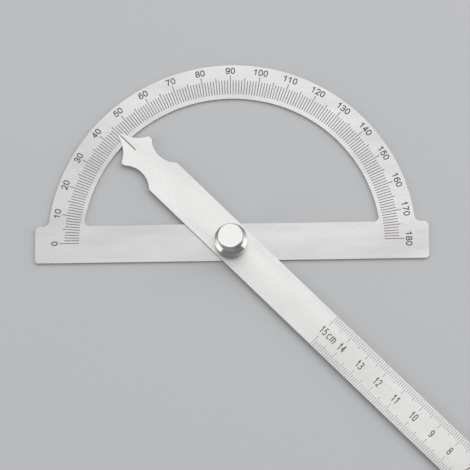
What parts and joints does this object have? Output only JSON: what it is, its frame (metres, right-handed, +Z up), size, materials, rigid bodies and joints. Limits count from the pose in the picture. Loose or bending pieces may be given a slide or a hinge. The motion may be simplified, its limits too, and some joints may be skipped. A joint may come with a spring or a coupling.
{
  "type": "bevel protractor",
  "caption": "Flat steel protractor with a half-round degree arc, a swinging pointer arm that ends in a straight rule, and a thumb nut that clamps it.",
  "frame": {"origin": "pivot axis of the arm at the head's flat back face", "axes": "+Z up out of the graduated face along the pivot, +X along the straight bar towards the 180 degree mark, +Y from the bar to the top of the arc"},
  "size_m": [0.2281, 0.2241, 0.0128],
  "materials": {
    "head_steel": "stainless sheet, finely brushed, tumbled edges",
    "arm_steel": "stainless strip, satin",
    "stud_steel": "turned stainless",
    "washer_steel": "spring steel, bright",
    "nut_plating": "turned and nickel plated, satin top"
  },
  "bodies": {
    "head": {"protractor_head": "head_steel", "pivot_stud": "stud_steel"},
    "arm": {"rule_arm": "arm_steel"},
    "washer": {"spring_washer": "washer_steel"},
    "nut": {"thumb_nut": "nut_plating"}
  },
  "joints": [
    {"name": "arm_swing", "type": "hinge", "parent": "head", "child": "arm", "pos_m": [0, 0, 0.0015], "axis": [0, 0, 1], "continuous": true},
    {"name": "nut_lift", "type": "slide", "parent": "head", "child": "washer", "axis": [0, 0, 1], "range_m": [0, 0.0007]},
    {"name": "nut_turn", "type": "hinge", "parent": "washer", "child": "nut", "pos_m": [0, 0, 0.007], "axis": [0, 0, 1], "range_deg": [0, 360]}
  ],
  "couplings": [
    {"joint": "nut_lift", "follows": "nut_turn", "m_per_rad": 0.00011141}
  ]
}
